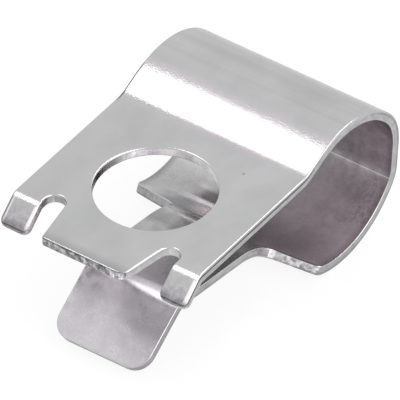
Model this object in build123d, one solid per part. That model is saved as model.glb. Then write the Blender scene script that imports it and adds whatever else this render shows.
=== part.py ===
"""Wastegate clip: one strip of spring steel, pierced, slit and folded into an open loop.

The strip is walked in side view from the front edge of the plate: back along the plate, up over the
crown of the loop, down its back, forward under it, up the tongue and down the flared tip. X runs
across the strip, +Y to the back and +Z up. The origin is below the middle of the finished clip, at
the level of the lowest point of the loop. Lengths are millimetres, angles are degrees.
"""
from build123d import *
import math
import os

# Strip
strip_width = 15.0
gauge = 0.7
edge_round = 0.12  # die roll along the cropped and pierced edges of the outer face

# Plate, measured forward from the line where it starts to rise
plate_length = 14.2
hole_to_rise = 6.0
hole_diameter = 8.35
tab_bend_to_rise = 11.15

# Slots beside the front lip of the plate
slot_end_radius = 0.74
slot_offset = 4.62  # from the middle of the strip to the middle of the slot's round end
slot_to_rise = 10.88  # to the same point
slot_taper = 9.7  # lean of the wall beside the lip, which narrows the lip towards its front
lip_corner_radius = 0.7

# Corner tabs, bent down in front of the plate
tab_bend_radius = 1.0
tab_angle = 40.0
tab_run = 2.0
tab_corner_radius = 0.55

# Loop, with its radii on the outer face
rise_radius = 2.45
rise_angle = 23.8
rise_run = 1.15
crown_radius = 6.95
crown_angle = 74.1
nape_radius = 3.95
nape_angle = 46.1
back_run = 1.9
heel_radius = 2.45
heel_angle = 31.5
sole_radius = 7.15
sole_angle = 86.8
sole_run = 0.35

# Tongue under the plate, and its flared tip
tongue_width = 7.48
tongue_bend_radius = 5.1
tongue_angle = 26.6
tongue_run = 6.05
flare_bend_radius = 1.2
flare_angle = 42.8
flare_run = 4.8
flare_corner_radius = 1.4

# Cheeks, where the full width of the strip narrows to the tongue
cheek_arc = 0.78  # along the outer face, from the middle of the cheek to the end of the sole
cheek_slant = 13.0
cheek_fillet_radius = 1.2
cheek_corner_radius = 0.42

overrun = 1.0  # how far a cutter passes the metal that it removes
corner_share = 0.49  # largest corner radius, as a share of the width of the end that it rounds
same_place = 1e-4  # distance within which a point lies on a line

half_width = strip_width / 2
half_tongue = tongue_width / 2
tab_inner = slot_offset + slot_end_radius


def face_line(start, heading, steps, shift):
    """Walk one face of the sheet: a step is a straight length or a (radius, turn) bend, left positive."""
    edges = []
    for step in steps:
        if isinstance(step, tuple):
            radius, turn = step
            edge = JernArc(start, heading, radius + (shift if turn > 0 else -shift), turn)
        else:
            edge = Line(start, start + heading * step)
        edges.append(edge)
        start = edge @ 1
        heading = edge % 1
    return edges


def folded_sheet(start, heading, steps, shift, width):
    """Sheet between the walked face and the one `shift` to its right, centred across X."""
    near = face_line(start, heading, steps, 0)
    right = heading.rotate(Axis.Z, -90)
    far = face_line(start + right * shift, heading, steps, shift)
    ends = [Line(near[0] @ 0, far[0] @ 0), Line(near[-1] @ 1, far[-1] @ 1)]
    profile = Plane.YZ * make_face(near + far + ends)
    return extrude(profile, amount=width / 2, both=True)


def side_plane(place, heading):
    """Plane on the outer face, with its X across the strip, its Y along it and its Z into the loop."""
    along = Vector(0, heading.X, heading.Y)
    inward = Vector(0, heading.Y, -heading.X)
    return Plane(origin=(0, place.X, place.Y), x_dir=along.cross(inward), z_dir=inward)


def end_corners(shape, x, last_edge, shift):
    """Short edges of the end face that closes the sheet at its last walked edge."""
    middle = last_edge @ 1 + (last_edge % 1).rotate(Axis.Z, -90) * (shift / 2)
    end_face = shape.faces().sort_by_distance((x, middle.X, middle.Y))[0]
    return end_face.edges().filter_by(Axis.X, reverse=True)


def both_sides(shape):
    return [shape, mirror(shape, about=Plane.YZ)]


# Side view. The plate starts to rise at Y = 0, and its upper face is at Z = 0 until the clip is placed
loop_steps = [
    plate_length,
    (rise_radius, rise_angle),
    rise_run,
    (crown_radius, -crown_angle),
    (nape_radius, -nape_angle),
    back_run,
    (heel_radius, -heel_angle),
    (sole_radius, -sole_angle),
    sole_run,
]
tongue_steps = [
    (tongue_bend_radius, tongue_angle),
    tongue_run,
    (flare_bend_radius, flare_angle),
    flare_run,
]
plate_front = Vector(-plate_length, 0)
to_the_back = Vector(1, 0)
walk = face_line(plate_front, to_the_back, loop_steps + tongue_steps, 0)
sole = walk[len(loop_steps) - 2]
tip = walk[-1]
flare_bend = walk[-2]

clip = folded_sheet(plate_front, to_the_back, loop_steps + tongue_steps, gauge, strip_width)


# Round hole
bore = Cylinder(hole_diameter / 2, 2 * (gauge + overrun))
clip -= Pos(0, -hole_to_rise, -gauge / 2) * bore


# Corner tabs: the plate's front corners give way to sheet that carries on over the tab bends
tab_start = Vector(-tab_bend_to_rise, 0)
to_the_front = Vector(-1, 0)
tab_steps = [(tab_bend_radius, tab_angle), tab_run]
tab_walk = face_line(tab_start, to_the_front, tab_steps, 0)
tab_end = tab_walk[-1] @ 1
tab = folded_sheet(tab_start, to_the_front, tab_steps, -gauge, half_width - slot_offset)
tab = Pos((slot_offset + half_width) / 2, 0, 0) * tab
front_waste = Box(
    half_width - slot_offset + overrun,
    plate_length - tab_bend_to_rise + overrun,
    gauge + 2 * overrun,
    align=(Align.MIN, Align.MAX, Align.CENTER),
)
front_waste = Pos(slot_offset, -tab_bend_to_rise, -gauge / 2) * front_waste
clip -= both_sides(front_waste)
clip += both_sides(tab)


# Slots, open to the front, between the lip and the tabs
def slot():
    middle = Vector(slot_offset, -slot_to_rise)
    lean = math.radians(slot_taper)
    beside_lip = middle + slot_end_radius * Vector(-math.cos(lean), math.sin(lean))
    beside_tab = middle + slot_end_radius * Vector(1, 0)
    round_end = ThreePointArc(beside_tab, middle + slot_end_radius * Vector(0, 1), beside_lip)
    front = min(-plate_length, tab_end.X) - gauge - overrun
    lip_front = Vector(beside_lip.X + math.tan(lean) * (front - beside_lip.Y), front)
    tab_front = Vector(beside_tab.X, front)
    walls = [Line(beside_lip, lip_front), Line(lip_front, tab_front), Line(tab_front, beside_tab)]
    depth = gauge + overrun - tab_end.Y
    return Pos(0, 0, -depth) * extrude(make_face([round_end] + walls), depth + overrun)


clip -= both_sides(slot())

lip_corners = clip.edges().filter_by(Axis.Z).group_by(Axis.Y)[0]
clip = fillet(lip_corners, lip_corner_radius)


# Tongue: the cheeks are cropped square to the sheet, and the strip's sides in front of them go with them
cheek_place = 1 - cheek_arc / sole.length
cheek_plane = side_plane(sole @ cheek_place, sole % cheek_place)
cheek_slope = math.tan(math.radians(cheek_slant))
cheek_lead = cheek_slope * (half_width - half_tongue) / 2  # of the wall's ends over its middle
cheek_reach = cheek_lead + cheek_fillet_radius + gauge + overrun


def cheek_crop():
    far_side = half_width + overrun
    crop = make_face(
        Polyline(
            (far_side, -cheek_lead - overrun * cheek_slope),
            (half_tongue, cheek_lead),
            (half_tongue, cheek_reach),
            (far_side, cheek_reach),
            close=True,
        )
    )
    inner_corner = crop.vertices().sort_by_distance((half_tongue, cheek_lead))[0]
    return cheek_plane * extrude(fillet(inner_corner, cheek_fillet_radius), gauge + overrun, both=True)


def side_waste():
    back = cheek_plane.from_local_coords((0, cheek_reach, 0)).Y + gauge
    front = (tip @ 1).X - gauge - overrun
    lowest = min(edge.bounding_box().min.Y for edge in walk) - gauge - overrun
    below_plate = ((flare_bend @ 0).Y - gauge) / 2
    block = Box(
        half_width - half_tongue + overrun,
        back - front,
        below_plate - lowest,
        align=(Align.MIN, Align.MIN, Align.MIN),
    )
    return Pos(half_tongue, front, lowest) * block


clip -= both_sides(cheek_crop()) + both_sides(side_waste())

square_to_cheek = Axis(cheek_plane.origin, cheek_plane.z_dir)
for side in (-1, 1):
    corner = cheek_plane.from_local_coords((side * half_width, -cheek_lead, gauge / 2))
    corner_edge = clip.edges().filter_by(square_to_cheek).sort_by_distance(corner)[0]
    clip = fillet(corner_edge, cheek_corner_radius)

flare_corner = min(flare_corner_radius, corner_share * tongue_width)
clip = fillet(end_corners(clip, 0, tip, gauge), flare_corner)
tab_corner = min(tab_corner_radius, corner_share * (half_width - tab_inner))
for side in (-1, 1):
    corners = end_corners(clip, side * (tab_inner + half_width) / 2, tab_walk[-1], -gauge)
    clip = fillet(corners, tab_corner)


# Die roll: every rim of the outer face is rounded, and the inner face keeps its sharp edges
side_view = Compound(walk + tab_walk)


def is_outer(face):
    places = [Vertex(corner.Y, corner.Z, 0) for corner in face.vertices()]
    return all(side_view.distance_to(place) < same_place for place in places)


outer_edges = [edge for face in clip.faces() if is_outer(face) for edge in face.edges()]
rims = [edge for edge in outer_edges if sum(edge.is_same(other) for other in outer_edges) == 1]
clip = fillet(rims, edge_round)

box = clip.bounding_box()
clip = Pos(0, -box.center().Y, -box.min.Z) * clip

os.makedirs("parts", exist_ok=True)
export_step(clip, "parts/clip.step")
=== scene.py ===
"""A wastegate clip in satin spring steel, seen from the front right and above on a white ground.

The clip is made as the real one is. Half of its flat blank is drawn and mirrored, and its corners are
rounded. The blank then gets its gauge, its rolled outer rims and its worn inner rims, and is folded
along the strip. Sizes in the maker's drawing are millimetres and degrees, and the scene is in metres.
"""
import math

import bmesh
import bpy
from mathutils import Matrix, Vector


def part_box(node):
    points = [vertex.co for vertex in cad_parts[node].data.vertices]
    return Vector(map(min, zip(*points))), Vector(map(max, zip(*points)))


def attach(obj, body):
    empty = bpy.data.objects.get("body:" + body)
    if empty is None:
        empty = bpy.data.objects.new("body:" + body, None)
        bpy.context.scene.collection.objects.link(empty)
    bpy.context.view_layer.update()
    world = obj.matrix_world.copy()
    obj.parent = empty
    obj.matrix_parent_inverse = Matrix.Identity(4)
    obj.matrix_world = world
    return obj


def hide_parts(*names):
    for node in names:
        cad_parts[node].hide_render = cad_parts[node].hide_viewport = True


MM = 0.001

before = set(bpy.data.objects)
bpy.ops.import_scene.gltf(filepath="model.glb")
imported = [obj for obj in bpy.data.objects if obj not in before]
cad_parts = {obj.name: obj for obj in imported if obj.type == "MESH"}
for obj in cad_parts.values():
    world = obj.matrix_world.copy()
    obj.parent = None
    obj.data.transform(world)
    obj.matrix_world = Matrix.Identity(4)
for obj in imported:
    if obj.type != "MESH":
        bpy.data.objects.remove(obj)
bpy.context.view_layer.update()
clip_low, clip_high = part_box("clip")

# Strip, in millimetres
STRIP_WIDTH = (clip_high.x - clip_low.x) / MM
GAUGE = 0.7
DIE_ROLL = 0.12
WORN_RIM = 0.07

# Plate, measured forward from the line where it starts to rise
PLATE_LENGTH = 14.2
HOLE_TO_RISE = 6.0
HOLE_RADIUS = 4.175
TAB_BEND_TO_RISE = 11.15

# Slots beside the lip, and the lip's corners
SLOT_END_RADIUS = 0.74
SLOT_OFFSET = 4.62
SLOT_TO_RISE = 10.88
SLOT_TAPER = 9.7
LEFT_LIP_CORNER_RADIUS = 0.25
RIGHT_LIP_CORNER_RADIUS = 0.8

# The strip beyond the plate, walked along the outer face. A number is a straight length, and a pair is
# a bend's radius and its turn, which is positive where it turns up
LOOP = [
    (2.45, 23.8),
    1.15,
    (6.95, -74.1),
    (3.95, -46.1),
    1.9,
    (2.45, -31.5),
    (7.15, -86.8),
    0.35,
]
TONGUE = [(5.1, 26.6), 6.05, (1.2, 42.8), 4.8]
TONGUE_WIDTH = 7.48
FLARE_CORNER_RADIUS = 1.4

# Corner tabs, walked forward from their bend line, where a positive turn goes down
TAB = [(1.0, 40.0), 2.0]
TAB_CORNER_RADIUS = 0.55

# Cheeks, where the strip narrows to the tongue
SOLE_RUN = LOOP[-1]
CHEEK_ARC = 0.78
CHEEK_SLANT = 13.0
CHEEK_FILLET_RADIUS = 1.2
CHEEK_CORNER_RADIUS = 0.42

HALF_WIDTH = STRIP_WIDTH / 2
HALF_TONGUE = TONGUE_WIDTH / 2
CORNER_SEGMENTS = 10
HOLE_SEGMENTS = 64
DIE_ROLL_SEGMENTS = 4
WORN_RIM_SEGMENTS = 3
DEGREES_A_FACET = 1.5
SQUARE_ENOUGH = math.radians(45)  # a sharper turn between two faces of the blank is a rim
SAME_PLACE = 1e-4


def step_length(step):
    return math.radians(abs(step[1])) * step[0] if isinstance(step, tuple) else step


def walk(steps, along):
    """Place and heading, in the side view, at a length along the walked face."""
    place, heading = Vector((0, 0)), 0.0
    for step in steps:
        here = min(along, step_length(step))
        turn = math.copysign(here / step[0], step[1]) if isinstance(step, tuple) else 0.0
        chord = 2 * step[0] * math.sin(abs(turn) / 2) if turn else here
        place += chord * Vector((math.cos(heading + turn / 2), math.sin(heading + turn / 2)))
        heading += turn
        along -= here
        if along <= 0:
            break
    return place, heading


def fold(x, along):
    """Where the line through the gauge at a point of the blank goes: its place on the outer face, and
    its turn about X."""
    y, z, turn = along, 0.0, 0.0
    if along > 0:
        (y, z), turn = walk(LOOP + TONGUE, along)
    elif abs(x) > SLOT_OFFSET and along < -TAB_BEND_TO_RISE:
        (forward, down), turn = walk(TAB, -TAB_BEND_TO_RISE - along)
        y, z = -TAB_BEND_TO_RISE - forward, -down
    return Vector((x, y, z)), Matrix.Rotation(turn, 3, "X")


def bend_stations():
    """Lengths along the blank at which it is cut across, so that each facet turns only a little."""
    stations = []
    for start, way, steps in ((0.0, 1, LOOP + TONGUE), (-TAB_BEND_TO_RISE, -1, TAB)):
        place = start
        for step in steps:
            facets = math.ceil(abs(step[1]) / DEGREES_A_FACET) if isinstance(step, tuple) else 1
            stations += [place + way * step_length(step) * facet / facets for facet in range(facets)]
            place += way * step_length(step)
    return stations


def half_outline():
    """Corners of the blank's right half, from the middle of the lip's front round to the middle of the
    flare's tip, each with the radii that round it and its twin on the left."""
    lean = math.radians(SLOT_TAPER)
    beside_lip = Vector((SLOT_OFFSET, -SLOT_TO_RISE))
    beside_lip += SLOT_END_RADIUS * Vector((-math.cos(lean), math.sin(lean)))
    slot_back = SLOT_END_RADIUS - SLOT_TO_RISE
    tab_inner = SLOT_OFFSET + SLOT_END_RADIUS
    tab_end = -TAB_BEND_TO_RISE - sum(map(step_length, TAB))
    cheek = sum(map(step_length, LOOP)) - SOLE_RUN - CHEEK_ARC
    cheek_lead = math.tan(math.radians(CHEEK_SLANT)) * (HALF_WIDTH - HALF_TONGUE) / 2
    tip = sum(map(step_length, LOOP + TONGUE))

    def lip_wall(along):
        return beside_lip.x + math.tan(lean) * (along - beside_lip.y)

    return [
        (0, -PLATE_LENGTH, None),
        (lip_wall(-PLATE_LENGTH), -PLATE_LENGTH, (RIGHT_LIP_CORNER_RADIUS, LEFT_LIP_CORNER_RADIUS)),
        (lip_wall(slot_back), slot_back, (SLOT_END_RADIUS, SLOT_END_RADIUS)),
        (tab_inner, slot_back, (SLOT_END_RADIUS, SLOT_END_RADIUS)),
        (tab_inner, tab_end, (TAB_CORNER_RADIUS, TAB_CORNER_RADIUS)),
        (HALF_WIDTH, tab_end, (TAB_CORNER_RADIUS, TAB_CORNER_RADIUS)),
        (HALF_WIDTH, cheek - cheek_lead, (CHEEK_CORNER_RADIUS, CHEEK_CORNER_RADIUS)),
        (HALF_TONGUE, cheek + cheek_lead, (CHEEK_FILLET_RADIUS, CHEEK_FILLET_RADIUS)),
        (HALF_TONGUE, tip, (FLARE_CORNER_RADIUS, FLARE_CORNER_RADIUS)),
        (0, tip, None),
    ]


def round_corner(bm, place, radius):
    corner = min(bm.verts, key=lambda vert: (vert.co - place).length)
    sides = [edge.other_vert(corner).co - corner.co for edge in corner.link_edges]
    offset = radius / math.tan(sides[0].angle(sides[1]) / 2)
    bmesh.ops.bevel(
        bm,
        geom=[corner],
        affect="VERTICES",
        offset=offset,
        segments=CORNER_SEGMENTS,
        profile=0.5,
        material=-1,
    )


def flat_blank():
    bm = bmesh.new()
    outline = half_outline()
    corners = [bm.verts.new((x, along, 0)) for x, along, radii in outline]
    for corner, following in zip(corners, corners[1:]):
        bm.edges.new((corner, following))
    hole_front = bm.verts.new((0, -HOLE_TO_RISE - HOLE_RADIUS, 0))
    hole = bmesh.ops.spin(
        bm,
        geom=[hole_front],
        cent=(0, -HOLE_TO_RISE, 0),
        axis=(0, 0, 1),
        angle=math.pi,
        steps=HOLE_SEGMENTS // 2,
    )
    hole_back = hole["geom_last"][0]
    bm.edges.new((corners[-1], hole_back))
    bm.edges.new((hole_front, corners[0]))
    bmesh.ops.contextual_create(bm, geom=bm.edges[:])
    bmesh.ops.mirror(bm, geom=bm.verts[:] + bm.edges[:] + bm.faces[:], axis="X", merge_dist=SAME_PLACE)
    for x, along, radii in outline:
        if radii:
            round_corner(bm, Vector((x, along, 0)), radii[0])
            round_corner(bm, Vector((-x, along, 0)), radii[1])
    return bm


def thicken(bm):
    """Gives the flat blank its gauge, on the side away from the outer face."""
    sheet = bmesh.ops.extrude_face_region(bm, geom=bm.faces[:])
    inner_side = [item for item in sheet["geom"] if isinstance(item, bmesh.types.BMVert)]
    bmesh.ops.translate(bm, verts=inner_side, vec=(0, 0, -GAUGE))
    bmesh.ops.recalc_face_normals(bm, faces=bm.faces)


def round_rims(bm, level, radius, segments):
    """Rounds every rim of the face of the blank that lies at `level`."""
    rims = [
        edge
        for edge in bm.edges
        if all(abs(vert.co.z - level) < SAME_PLACE for vert in edge.verts)
        and edge.calc_face_angle(0) > SQUARE_ENOUGH
    ]
    bmesh.ops.bevel(
        bm, geom=rims, affect="EDGES", offset=radius, segments=segments, profile=0.5, material=-1
    )


def cut_across(bm, station):
    geometry = bm.verts[:] + bm.edges[:] + bm.faces[:]
    bmesh.ops.bisect_plane(
        bm, geom=geometry, dist=SAME_PLACE, plane_co=(0, station, 0), plane_no=(0, 1, 0)
    )


# Finishes of the blank's faces, in the order in which the clip's metals are made below
OUTER, INNER, SLIT, CROPPED = range(4)
CROPPED_BEYOND = 13.0  # from the line where the plate starts to rise
END_FACING = 0.6  # least part of a cropped face's normal that points along the strip


def finish_of(face):
    """Which finish a face of the blank gets. Worn rims are finished like the outer face, and so are rolled
    rims, except at the cropped ends."""
    depths = [-vert.co.z for vert in face.verts]
    past_the_wall = min(depths) > GAUGE - WORN_RIM - SAME_PLACE
    at_an_end = abs(face.calc_center_median().y) > CROPPED_BEYOND
    if at_an_end and abs(face.normal.y) > END_FACING and not past_the_wall:
        return CROPPED
    if min(depths) > GAUGE - SAME_PLACE:
        return INNER
    if past_the_wall or max(depths) < DIE_ROLL + SAME_PLACE:
        return OUTER
    return SLIT


def blank_normal(vert):
    """Outward direction at a point of the blank, which turns evenly over the rounded rims."""
    depth = -vert.co.z
    rise = 0.0
    if depth < DIE_ROLL:
        rise = 1 - depth / DIE_ROLL
    elif depth > GAUGE - WORN_RIM:
        rise = (GAUGE - WORN_RIM - depth) / WORN_RIM
    rise = max(-1.0, min(1.0, rise))
    sideways = vert.normal.xy.normalized() * math.sqrt(1 - rise * rise)
    return Vector((*sideways, rise))


def fold_up(bm):
    """Folds the blank, which keeps each point's share of the gauge, and returns its folded normals."""
    depth_share = bm.verts.layers.float.new("depth")
    bm.normal_update()
    normals = []
    for vert in bm.verts:
        vert[depth_share] = -vert.co.z / GAUGE
        place, turn = fold(vert.co.x, vert.co.y)
        normals.append(turn @ blank_normal(vert))
        vert.co = place + turn @ Vector((0, 0, vert.co.z))
    return normals


def set_in_place(bm):
    """Scales the clip to metres, level with the solid's lowest line and midway along the solid."""
    bmesh.ops.scale(bm, verts=bm.verts, vec=(MM, MM, MM))
    places = [vert.co for vert in bm.verts]
    middle = (min(place.y for place in places) + max(place.y for place in places)) / 2
    lowest = min(place.z for place in places)
    shift = Vector((0, (clip_low.y + clip_high.y) / 2 - middle, clip_low.z - lowest))
    bmesh.ops.translate(bm, verts=bm.verts, vec=shift)


# Clip. Its faces know where they were on the flat strip, so that the finish follows the folds
bm = flat_blank()
thicken(bm)
round_rims(bm, 0, DIE_ROLL, DIE_ROLL_SEGMENTS)
round_rims(bm, -GAUGE, WORN_RIM, WORN_RIM_SEGMENTS)
for station in bend_stations():
    cut_across(bm, station)
on_blank = bm.loops.layers.uv.new("blank")
for face in bm.faces:
    face.smooth = True
    face.material_index = finish_of(face)
    for loop in face.loops:
        loop[on_blank].uv = loop.vert.co.xy
normals = fold_up(bm)
set_in_place(bm)

clip_mesh = bpy.data.meshes.new("folded_clip")
bm.to_mesh(clip_mesh)
bm.free()
clip_mesh.normals_split_custom_set_from_vertices(normals)
clip = bpy.data.objects.new("folded_clip", clip_mesh)
bpy.context.scene.collection.objects.link(clip)


# Finishes, worked out by nodes
def add(tree, kind, inputs, **settings):
    """A node with its settings, and its inputs, by name or number, set to values or linked."""
    node = tree.nodes.new(kind)
    for name, value in settings.items():
        setattr(node, name, value)
    for key, value in inputs.items():
        if isinstance(value, Reading):
            tree.links.new(value.socket, node.inputs[key])
        else:
            node.inputs[key].default_value = value
    return node


class Reading:
    """What nodes work out at each point of a piece. Adding, multiplying or comparing adds a node."""

    def __init__(self, tree, socket):
        self.tree = tree
        self.socket = socket

    def __add__(self, other):
        return calculate(self.tree, "ADD", self, other)

    def __sub__(self, other):
        return calculate(self.tree, "SUBTRACT", self, other)

    def __rsub__(self, other):
        return calculate(self.tree, "SUBTRACT", other, self)

    def __mul__(self, other):
        return calculate(self.tree, "MULTIPLY", self, other)

    def __gt__(self, other):
        return calculate(self.tree, "GREATER_THAN", self, other)

    def __lt__(self, other):
        return calculate(self.tree, "LESS_THAN", self, other)

    def __abs__(self):
        return calculate(self.tree, "ABSOLUTE", self, 0)

    __radd__ = __add__
    __rmul__ = __mul__


def read(tree, kind, inputs, output=0, **settings):
    """What a new node works out."""
    return Reading(tree, add(tree, kind, inputs, **settings).outputs[output])


def calculate(tree, operation, first, second):
    return read(tree, "ShaderNodeMath", {0: first, 1: second}, operation=operation)


def smallest(first, second):
    return calculate(first.tree, "MINIMUM", first, second)


def largest(first, *others):
    for other in others:
        first = calculate(first.tree, "MAXIMUM", first, other)
    return first


def between(value, low, high, bottom, top):
    """`bottom` where the value is `low`, `top` where it is `high`, and evenly from one to the other."""
    return read(value.tree, "ShaderNodeMapRange", {0: value, 1: low, 2: high, 3: bottom, 4: top})


def window(value, low, high, soft, top=1.0):
    """`top` from `low` to `high`, falling to 0 over `soft` beyond each."""
    rise = between(value, low - soft, low, 0, top)
    fall = between(value, high, high + soft, top, 0)
    return smallest(rise, fall)


TROUGH, PEAK = 0.35, 0.65  # levels that a pattern seldom passes


def vary(pattern, bottom, top):
    """`bottom` in a pattern's troughs and `top` on its peaks."""
    return between(pattern, TROUGH, PEAK, bottom, top)


def ramp(value, low, low_colour, high, high_colour):
    """One colour where the value is `low`, another where it is `high`, and evenly between."""
    node = add(value.tree, "ShaderNodeValToRGB", {0: value})
    for element, place, colour in zip(node.color_ramp.elements, (low, high), (low_colour, high_colour)):
        element.position = place
        element.color = (*colour, 1)
    return Reading(value.tree, node.outputs[0])


MIX_FIRST, MIX_SECOND, MIX_RESULT = 6, 7, 2  # the Mix node's sockets for colours


def blend(colour, share, other, how="MIX"):
    """The colour where the share is 0, and the other where it is 1."""
    inputs = {0: share, MIX_FIRST: colour, MIX_SECOND: (*other, 1)}
    return read(colour.tree, "ShaderNodeMix", inputs, MIX_RESULT, data_type="RGBA", blend_type=how)


def shade(colour, amount):
    """The colour made darker or lighter by an amount."""
    return read(colour.tree, "ShaderNodeVectorMath", {0: colour, "Scale": amount}, operation="SCALE")


def darken(colour, share):
    """The colour less a share of it."""
    return shade(colour, 1 - share)


class StripMetal:
    """A metal of the clip, laid out on the flat strip in millimetres: across it from its middle, and
    along it from the line where the plate starts to rise. `depth` is a share of the gauge."""

    def __init__(self, name):
        material = bpy.data.materials.new(name)
        material.use_nodes = True
        clip_mesh.materials.append(material)
        self.tree = tree = material.node_tree
        self.shader = tree.nodes["Principled BSDF"]
        self.shader.inputs["Metallic"].default_value = 1.0
        flat = read(tree, "ShaderNodeUVMap", {}, uv_map="blank")
        split = add(tree, "ShaderNodeSeparateXYZ", {0: flat})
        self.across, self.along = (Reading(tree, socket) for socket in split.outputs[:2])
        self.depth = read(tree, "ShaderNodeAttribute", {}, "Fac", attribute_name="depth")
        self.place = read(tree, "ShaderNodeCombineXYZ", {0: self.across, 1: self.along, 2: self.depth})

    def pattern(self, scale, detail, seed=0.0):
        """Noise from 0 to 1, with `scale` features a millimetre across, along and through the strip."""
        inputs = {"Vector": self.place, "Scale": scale, "Location": (seed, 0, 0)}
        scaled = read(self.tree, "ShaderNodeMapping", inputs)
        return read(self.tree, "ShaderNodeTexNoise", {"Vector": scaled, "Scale": 1, "Detail": detail})

    def finish(self, colour, roughness, height, relief):
        """Links the colour, the roughness and the relief, whose depth is in millimetres."""
        inputs = {"Height": height, "Strength": 1.0, "Distance": relief * MM}
        bump = read(self.tree, "ShaderNodeBump", inputs)
        for name, reading in (("Base Color", colour), ("Roughness", roughness), ("Normal", bump)):
            self.tree.links.new(reading.socket, self.shader.inputs[name])


# Colours of the steel, and of the highlights, reflections and shade painted on it
ROLLED_DARK = (0.475, 0.475, 0.48)
ROLLED_LIGHT = (0.53, 0.53, 0.535)
RUBBED = (0.36, 0.33, 0.355)
PAINTED_PINK_FRINGE = (0.56, 0.52, 0.555)
RIM_HIGHLIGHT = (1.0, 0.97, 0.985)
INNER_GREY = (0.48, 0.475, 0.478)
INNER_VIOLET = (0.67, 0.615, 0.65)
PINK_TINT = (1.0, 0.94, 0.965)
FLARE = (0.46, 0.435, 0.465)
SCRATCH = (0.26, 0.235, 0.25)
SMUDGE = (0.3, 0.285, 0.3)
NICK = (0.95, 0.9, 0.92)
DARK_PATCH_UNDER_LIP = (0.36, 0.3, 0.325)
CREASE_HIGHLIGHT = (0.88, 0.84, 0.86)
SLIT_DARK = (0.6, 0.585, 0.595)
SLIT_LIGHT = (0.76, 0.75, 0.755)
SLIT_HIGHLIGHT = (0.93, 0.9, 0.915)
TORN_LIGHT = (0.66, 0.65, 0.66)
TORN_DARK = (0.24, 0.23, 0.24)

# Places along the strip where its finish and its painted light change
TAB_FACE = (-13.4, -11.9)  # the straight part of the corner tabs
SLOT_BACK = -10.1
BESIDE_RISE = ((0.4, 0.6), (3.1, 3.6))
CREASE = 17.25  # the line inside the loop with a sharp crease, along which a highlight is painted
# the flare's bend, over which a highlight is painted
FLARE_BEND = (37.6, 38.2)


def satin_rolled_face():
    """The outer face: satin, with faint clouds and the mill's lines along it, and rubbed on its tabs, with
    painted highlights, reflections and shade.
    """
    metal = StripMetal("satin_rolled_face")
    across, along = metal.across, metal.along
    clouds = metal.pattern((0.3, 0.22, 0), 4)
    mill_lines = metal.pattern((5, 0.35, 0), 3)
    grain = metal.pattern((9, 9, 0), 3)
    rubs = metal.pattern((2.2, 2.2, 0), 6, seed=3.7)
    crosswise_reflection_bands = metal.pattern((0.03, 0.9, 0), 2, seed=1.3)
    on_tabs = abs(across) > SLOT_OFFSET
    rubbed = on_tabs * between(along, -11.6, -14, 0, 1)
    on_loop = between(along, 3, 5, 0, 0.05)

    steel = ramp(clouds, TROUGH, ROLLED_DARK, PEAK, ROLLED_LIGHT)
    steel = blend(steel, rubbed * between(rubs, 0.38, 0.62, 0.15, 1.3), RUBBED)
    # Painted reflection: a pinkish fringe on either side of the bright band over the rise
    for low, high in BESIDE_RISE:
        beside_rise = window(along, low, high, 0.4) * between(rubs, 0.3, 0.6, 0.2, 0.7)
        steel = blend(steel, beside_rise, PAINTED_PINK_FRINGE)
    # Painted reflection: faint light and dark bands across the loop
    steel = shade(steel, 1 + on_loop * vary(crosswise_reflection_bands, -1, 1))
    # Painted highlights along the tabs' rims
    steel = blend(steel, painted_rim_highlights(across, along), RIM_HIGHLIGHT)
    # Painted shade at the tab ends, the left rim and the lip's front, and a dark pit
    steel = darken(steel, painted_shade_and_pit(across, along, on_tabs))

    metal.shader.inputs["Specular Tint"].default_value = (0.8, 0.8, 0.8, 1)
    roughness = vary(mill_lines, 0.1, 0.15) + 0.12 * rubbed
    metal.finish(steel, roughness, height=grain + 0.3 * mill_lines, relief=0.014)


def painted_rim_highlights(across, along):
    """Painted highlights along rims of the tabs: both of the left one, and the outer one of the right."""
    left_inner = window(across, -5.54, -5.3, 0.07, 0.9)
    left_outer = window(across, -7.28, -7.24, 0.06, 0.6)
    right_outer = window(across, 7.27, 7.5, 0.08, 0.9)
    return largest(left_inner, left_outer, right_outer) * window(along, *TAB_FACE, 0.2)


def painted_shade_and_pit(across, along, on_tabs):
    """Painted shade at the ends of the tabs, along parts of the left rim and over the lip's front, and a
    dark pit in the plate.
    """
    end_line = window(along, -13.72, -13.64, 0.08, 0.7)
    beside_end = window(along, -13.7, -13.5, 0.4, 0.3)
    tab_ends = on_tabs * largest(end_line, beside_end)
    rim_stretches = largest(window(along, 0.2, 2.8, 0.6), window(along, -13.6, -11.5, 0.2, 0.6))
    left_rim = between(across, -7.4, -7.3, 0.88, 0) * rim_stretches
    pit = window(across, 3.82, 3.92, 0.1, 0.3) * window(along, -1.55, -1.45, 0.1)
    lip_front = smallest(between(along, -14, -13.3, 0.22, 0), 1 - on_tabs)
    return largest(tab_ends, left_rim, pit, lip_front)


# Painted reflections of the tongue's bend, light and dark bands on the inner face where the tongue begins:
# from where to where each lies along the strip, how softly it ends, where it starts and is full across the
# strip, and its colour
PAINTED_BEND_REFLECTIONS = [
    ((24.3, 25.2), 0.3, (-5.0, -3.5), (0.35, 0.33, 0.345)),
    ((25.4, 25.75), 0.15, (-4.2, -3.2), (1.0, 0.95, 0.97)),
    ((26.2, 28.1), 0.3, (-6.5, -5.2), (0.34, 0.335, 0.35)),
    ((26.3, 27.9), 0.3, (-3.5, -2.3), (0.82, 0.69, 0.73)),
    ((28.2, 28.4), 0.15, (-3.2, -2.0), (0.3, 0.27, 0.29)),
    ((28.95, 29.5), 0.15, (-2.9, -2.0), (0.17, 0.15, 0.165)),
]


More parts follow.
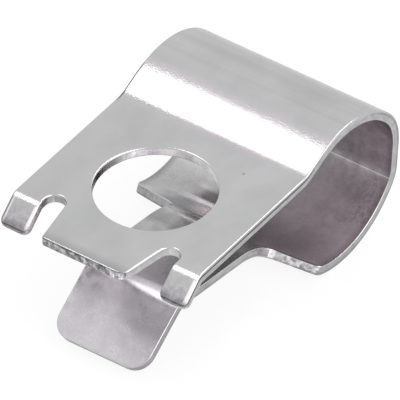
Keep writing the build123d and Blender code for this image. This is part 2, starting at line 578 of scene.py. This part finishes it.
def scuffed_inner_face():
    """The inner face: scuffed by the forming tools, with a violet tarnish inside the loop, and painted
    light and shade.
    """
    metal = StripMetal("scuffed_inner_face")
    across, along = metal.across, metal.along
    tarnish = metal.pattern((0.35, 0.3, 0), 3)
    patches = metal.pattern((1.3, 1.1, 0), 5, seed=7.3)
    speckle = metal.pattern((6, 6, 0), 2)
    in_loop = between(along, 28, 31, 1, 0)
    on_flare = between(along, 33.5, 35.5, 0, 1)
    to_the_right = across + 4 * tarnish
    violet = in_loop * between(to_the_right, 0, 9, 0, 1)
    pink = in_loop * between(to_the_right, -1.5, 3, 0, 1) * between(along, CREASE, CREASE + 1, 0.2, 1)

    # A violet and pink tint, which also lightens the loop towards its right side as painted light
    steel = ramp(violet, 0, INNER_GREY, 1, INNER_VIOLET)
    steel = blend(steel, pink, PINK_TINT, how="MULTIPLY")
    steel = shade(steel, 1 + 0.07 * pink)
    # Painted light and shade along the inner face
    steel = painted_light_along(steel, across, along, on_flare)
    # Painted reflections of the tongue's bend
    for (low, high), soft, (faint, full), colour in PAINTED_BEND_REFLECTIONS:
        share = smallest(between(across, faint, full, 0, 1), between(across, -1, 1.5, 1, 0))
        steel = blend(steel, share * window(along, low, high, soft), colour)
    steel = shade(steel, between(tarnish, 0.3, 0.7, 0.95, 1.05))
    scuffs = between(patches, 0.35, 0.6, 1, 0) * between(violet, 0.2, 0.7, 0.08, 0.28)
    steel = shade(steel, 1.04 - scuffs)
    steel = shade(steel, between(speckle, 0.3, 0.7, 0.94, 1.06))
    steel = darken(steel, in_loop * between(abs(across), 6.9, 7.35, 0, 0.35))
    steel = scratch_and_smudge(metal, steel, patches, violet)

    rough_loop = in_loop * between(across, -1, 3, 0, 0.2)
    roughness = vary(patches, 0.26, 0.16) + largest(rough_loop, 0.1 * on_flare)
    metal.finish(steel, roughness, height=speckle + patches, relief=0.003)


def painted_light_along(steel, across, along, on_flare):
    """Painted light and shade in stretches of the inner face, from the back of the loop to the flare, with
    a darker tone on the flare and painted highlights over and beside its bend.
    """
    above_crease = between(along, CREASE - 0.1, CREASE + 0.1, 0.62, 0.78)
    below_crease = between(along, CREASE + 0.5, CREASE + 3, 0, 0.5)
    steel = shade(steel, above_crease + below_crease)
    steel = darken(steel, window(along, 31.5, 33, 2.5, 0.34))
    left_sole = window(along, 24.5, 27.8, 4, 0.34) * between(across, -4.6, -3.2, 1, 0)
    left_root = window(along, 29.8, 31.2, 0.6, 0.3) * between(across, -1, 1, 1, 0)
    steel = darken(steel, left_sole + left_root)
    steel = blend(steel, on_flare, FLARE)
    steel = shade(steel, 1 + window(along, *FLARE_BEND, 0.8, 0.25))
    right_flare = window(along, 38.4, 39.3, 0.6, 0.3) + window(along, 40.6, 41.2, 0.4, 0.15)
    right_flare *= between(across, 0.3, 1.2, 0, 1)
    left_flare = window(along, 38.5, 40.2, 0.5, 0.22) * between(across, -3, -2, 1, 0)
    return shade(steel, 1 + right_flare + left_flare)


def scratch_and_smudge(metal, steel, patches, violet):
    """Scratches, a smudge and nicks inside the loop, a darker mottled patch below the lip and a painted
    highlight along the crease.
    """
    across, along = metal.across, metal.along
    scratches = metal.pattern((5, 2.4, 0), 6, seed=2.6)
    dents = metal.pattern((2.5, 9, 0), 3, seed=8.8)
    scratched = smallest(window(across, 6.1, 7.2, 0.9), window(along, 17.8, 20.8, 1.5))
    smudge = window(across, 4.7, 5.7, 1.2) * window(along, 18.5, 19.5, 0.8)
    below_lip = window(along, 37.8, 38.8, 0.7) * between(across, -0.5, 1, 1, 0)
    for share, colour in (
        (scratched * between(scratches, 0.48, 0.6, 0.1, 0.5), SCRATCH),
        (smudge * between(patches, 0.3, 0.65, 0.5, 0.15), SMUDGE),
        (violet * between(dents, 0.64, 0.68, 0, 0.4), NICK),
        # A darker mottled patch on the flare below the lip
        (below_lip * between(patches, 0.42, 0.55, 0, 0.5), DARK_PATCH_UNDER_LIP),
        # Painted highlight along the crease
        (window(along, CREASE, CREASE, 0.05), CREASE_HIGHLIGHT),
    ):
        steel = blend(steel, share, colour)
    return steel


def slit_edge():
    """Slit and pierced edges: a painted dark reflection in a line under the rolled rim, then bright, with
    drag lines, and painted light and shade along the strip and around the hole.
    """
    metal = StripMetal("slit_edge")
    across, along, depth = metal.across, metal.along, metal.depth
    drag_lines = metal.pattern((3, 3, 0.5), 2)
    zones = metal.pattern((1.5, 1.5, 2.5), 2)
    aside = abs(across)
    on_sides = aside > HALF_WIDTH - DIE_ROLL
    in_slots = window(aside, 3.2, 6, 0.1) * between(along, SLOT_BACK, SLOT_BACK + 0.1, 1, 0)
    in_hole = smallest(abs(along + HOLE_TO_RISE) < HOLE_RADIUS + DIE_ROLL, 1 - on_sides)

    # Painted light and shade: the walls lighter or darker by where they lie along the strip, in the slots
    # and around the hole
    level = between(along, 18, 26, 0.62, 0.52) + window(along, 27.2, 34, 1, 0.1) + 0.15 * in_slots
    across_hole = smallest(between(across, -4.1, -3.4, 0.5, 1.3), between(across, -1.3, -0.1, 1.3, 0.85))
    hole_wall = in_hole * (across_hole - level)
    # Painted dark reflection in a line under the rolled rim
    painted_dark_line = between(depth, 0.34, 0.44, 1, 0)
    painted_dark_line *= between(along, 0.5, 2.5, 0.5, -0.08) + between(along, 7, 10, 0, 0.26)
    painted_dark_line *= 1 - 0.7 * in_slots
    painted_dark_line *= 0.7 + 0.3 * on_sides - 0.7 * in_hole
    # Painted highlight on the slot walls beside the tabs
    beside_tabs = window(along, *TAB_FACE, 0.5) * window(aside, 5.2, 5.6, 0.1)

    steel = ramp(zones, TROUGH, SLIT_DARK, PEAK, SLIT_LIGHT)
    steel = shade(steel, hole_wall + level - painted_dark_line)
    steel = blend(steel, beside_tabs * between(depth, 0.55, 0.7, 1, 0), SLIT_HIGHLIGHT)
    metal.finish(steel, roughness=vary(drag_lines, 0.2, 0.35), height=drag_lines, relief=0.005)


def cropped_end():
    """Cropped ends: torn, with dark pits and bright ridges, duller at the front, and with painted light
    and shade: darker on the left, at the tip and over the rolled rim, and lighter on the right.
    """
    metal = StripMetal("cropped_end")
    across, along, depth = metal.across, metal.along, metal.depth
    tears = metal.pattern((5, 5, 1.2), 3)
    pits = metal.pattern((2.2, 2.2, 2.6), 3, seed=4.1)
    in_front = along < 0
    torn = largest(in_front, between(across, 4, 6, 0.3, 0.7))
    # Painted light and shade: darker on the left and at the flare's tip, lighter on the right
    painted_light_and_shade = between(across, -3, 3.5, 0.55, 1.2) * between(along, 35, 36, 1, 0.4)

    steel = ramp((0.58 - pits) * torn, 0, TORN_LIGHT, 0.18, TORN_DARK)
    steel = shade(steel, 1.1 - torn * vary(tears, 0.6, -0.2))
    # Painted shade over the rolled rim at the outer side of each end
    steel = shade(steel, between(depth, 0.08, 0.3, 0.5, 1))
    steel = shade(steel, largest(painted_light_and_shade, 0.75 * in_front))
    metal.finish(steel, roughness=vary(tears, 0.25, 0.45), height=tears + pits, relief=0.03)


# Metals of the clip, in the order in which its faces count them
satin_rolled_face()
scuffed_inner_face()
slit_edge()
cropped_end()

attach(clip, "root")
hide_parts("clip")


# Floor
def seen_directly(tree):
    """1 for camera, glossy and transmission rays, and 0 for those that light the object."""
    rays = add(tree, "ShaderNodeLightPath", {}).outputs
    kinds = ("Is Camera Ray", "Is Glossy Ray", "Is Transmission Ray")
    return largest(*(Reading(tree, rays[kind]) for kind in kinds))


def mix_shaders(tree, share, first, second, output):
    """Links the output to the first shader where the share is 0 and to the second where it is 1."""
    inputs = {0: share, 1: Reading(tree, first.outputs[0]), 2: Reading(tree, second.outputs[0])}
    blended = add(tree, "ShaderNodeMixShader", inputs)
    tree.links.new(blended.outputs[0], tree.nodes[output].inputs["Surface"])


FLOOR_SIZE = 3.0
FLOOR_GLOW = 0.88
bm = bmesh.new()
bmesh.ops.create_grid(bm, x_segments=1, y_segments=1, size=FLOOR_SIZE / 2)
floor_mesh = bpy.data.meshes.new("floor")
bm.to_mesh(floor_mesh)
bm.free()
floor = bpy.data.objects.new("floor", floor_mesh)
bpy.context.scene.collection.objects.link(floor)
white = bpy.data.materials.new("white_floor")
white.use_nodes = True
tree = white.node_tree
paint = tree.nodes["Principled BSDF"]
paint.inputs["Base Color"].default_value = (0.9, 0.9, 0.9, 1)
paint.inputs["Roughness"].default_value = 0.9
glow = add(tree, "ShaderNodeEmission", {"Strength": 1.0})
mix_shaders(tree, FLOOR_GLOW * seen_directly(tree), paint, glow, "Material Output")
floor_mesh.materials.append(white)


# World, white where it is seen and a plain level where it lights the object
PLAIN_LEVEL = 1.0
world = bpy.data.worlds.new("white_room")
bpy.context.scene.world = world
world.use_nodes = True
tree = world.node_tree
lit = tree.nodes["Background"]
lit.inputs["Color"].default_value = (1, 1, 1, 1)
lit.inputs["Strength"].default_value = PLAIN_LEVEL
seen = add(tree, "ShaderNodeBackground", {"Color": (1, 1, 1, 1), "Strength": 1.0})
mix_shaders(tree, seen_directly(tree), lit, seen, "World Output")


# Lamps, which all face the clip
LAMP_DISTANCE = 0.5


def soft_box(name, towards, width, height, radiance):
    """A lamp in a direction from the clip, which shines back at it."""
    lamp = bpy.data.lights.new(name, "AREA")
    lamp.shape = "RECTANGLE"
    lamp.size = width
    lamp.size_y = height
    lamp.energy = radiance * math.pi * width * height
    holder = bpy.data.objects.new(name, lamp)
    way = Vector(towards).normalized()
    turn = way.to_track_quat("Z", "Y").to_matrix().to_4x4()
    holder.matrix_world = Matrix.Translation(LAMP_DISTANCE * way) @ turn
    bpy.context.scene.collection.objects.link(holder)


soft_box("overhead_box", (-0.449, -0.104, 0.887), width=0.215, height=0.1855, radiance=3.0)
soft_box("back_box", (0.15, 0.61, 0.77), width=0.22, height=0.25, radiance=3.0)
soft_box("right_box", (0.8, 0.0, 0.5), width=0.45, height=0.45, radiance=2.0)

# Camera
AIM = Vector((0.849, -0.727, 6.891)) * MM
AZIMUTH = math.radians(36.361)
ELEVATION = math.radians(40.741)
ROLL = math.radians(-0.927)
DISTANCE = 946.835 * MM
LENS = 1294.9
back = Vector(
    (
        math.sin(AZIMUTH) * math.cos(ELEVATION),
        -math.cos(AZIMUTH) * math.cos(ELEVATION),
        math.sin(ELEVATION),
    )
)
right = Vector((math.cos(AZIMUTH), math.sin(AZIMUTH), 0))
up = back.cross(right)
rolled_right = math.cos(ROLL) * right + math.sin(ROLL) * up
rolled_up = math.cos(ROLL) * up - math.sin(ROLL) * right
turn = Matrix((rolled_right, rolled_up, back)).transposed().to_4x4()
camera_data = bpy.data.cameras.new("camera")
camera_data.sensor_fit = "HORIZONTAL"
camera_data.sensor_width = 36.0
camera_data.lens = LENS
camera_data.clip_start = 0.05
camera_data.clip_end = 10.0
camera = bpy.data.objects.new("camera", camera_data)
camera.matrix_world = Matrix.Translation(AIM + DISTANCE * back) @ turn
bpy.context.scene.collection.objects.link(camera)
bpy.context.scene.camera = camera
bpy.context.scene.view_settings.view_transform = "Standard"
